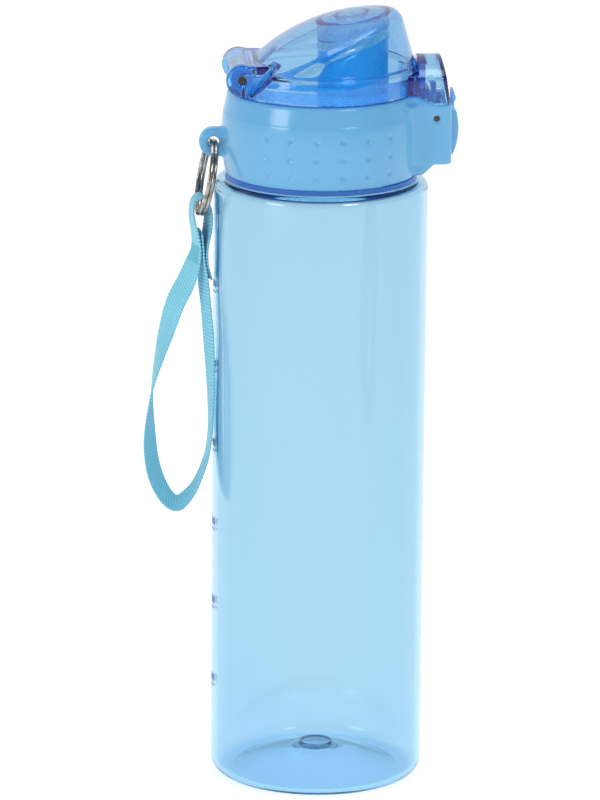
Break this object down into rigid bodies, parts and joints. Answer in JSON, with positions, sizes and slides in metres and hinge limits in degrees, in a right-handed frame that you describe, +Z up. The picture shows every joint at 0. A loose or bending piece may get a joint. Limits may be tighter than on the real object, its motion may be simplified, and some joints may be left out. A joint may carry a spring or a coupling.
{
  "type": "flip-lid drinking bottle",
  "caption": "Clear cylindrical drinking bottle with a screw cap, spout, push-button flip lid, split ring and webbing wrist strap.",
  "frame": {"origin": "centre of the foot ring, on the plane that the bottle stands on", "axes": "+Z up along the bottle's axis; +X towards the push button and latch, with the hinge and the strap lug at -X; +Y to the left of the latch seen from above with +X up the page"},
  "size_m": [0.1051, 0.072, 0.2648],
  "materials": {
    "clear_body": "clear, gloss",
    "azure_plastic": "translucent, gloss",
    "sky_plastic": "satin",
    "clear_blue_lid": "clear, gloss",
    "silicone": "satin",
    "steel": "polished",
    "aqua_webbing": "woven rib"
  },
  "bodies": {
    "bottle": {"bottle_body": "clear_body"},
    "seal_carrier": {"neck_gasket": "silicone"},
    "cap": {"inner_cap": "azure_plastic", "collar": "sky_plastic", "hinge_pin": "steel", "lid_spring": "steel", "button_pin": "steel", "button_spring": "steel"},
    "lid": {"flip_lid": "clear_blue_lid", "spout_seal": "silicone"},
    "button": {"push_button": "sky_plastic"},
    "lock": {"lock_slider": "sky_plastic"},
    "ring": {"split_ring": "steel"},
    "strap": {"strap": "aqua_webbing"}
  },
  "joints": [
    {"name": "cap_lift", "type": "slide", "parent": "bottle", "child": "seal_carrier", "axis": [0, 0, 1], "range_m": [0, 0.008]},
    {"name": "cap_turn", "type": "hinge", "parent": "seal_carrier", "child": "cap", "pos_m": [0, 0, 0.22], "axis": [0, 0, 1], "range_deg": [0, 720]},
    {"name": "lid_hinge", "type": "hinge", "parent": "cap", "child": "lid", "pos_m": [-0.0273, 0, 0.2434], "axis": [0, -1, 0], "range_deg": [0, 125]},
    {"name": "button_press", "type": "hinge", "parent": "cap", "child": "button", "pos_m": [0.0376, 0, 0.23], "axis": [0, 1, 0], "range_deg": [0, 6], "stiffness_Nm_per_rad": 0.3, "springref_deg": -5.73, "deforming": ["button_spring"]},
    {"name": "lock_slide", "type": "slide", "parent": "cap", "child": "lock", "axis": [0, 1, 0], "range_m": [0, 0.004]},
    {"name": "ring_swing", "type": "hinge", "parent": "cap", "child": "ring", "pos_m": [-0.0361, 0, 0.2198], "axis": [0, 1, 0], "range_deg": [0, 50]},
    {"name": "strap_swing", "type": "hinge", "parent": "ring", "child": "strap", "pos_m": [-0.04066, 0, 0.19522], "axis": [0, 1, 0], "range_deg": [0, 15]}
  ],
  "couplings": [
    {"joint": "cap_turn", "follows": "cap_lift", "rad_per_m": 1570.8}
  ]
}
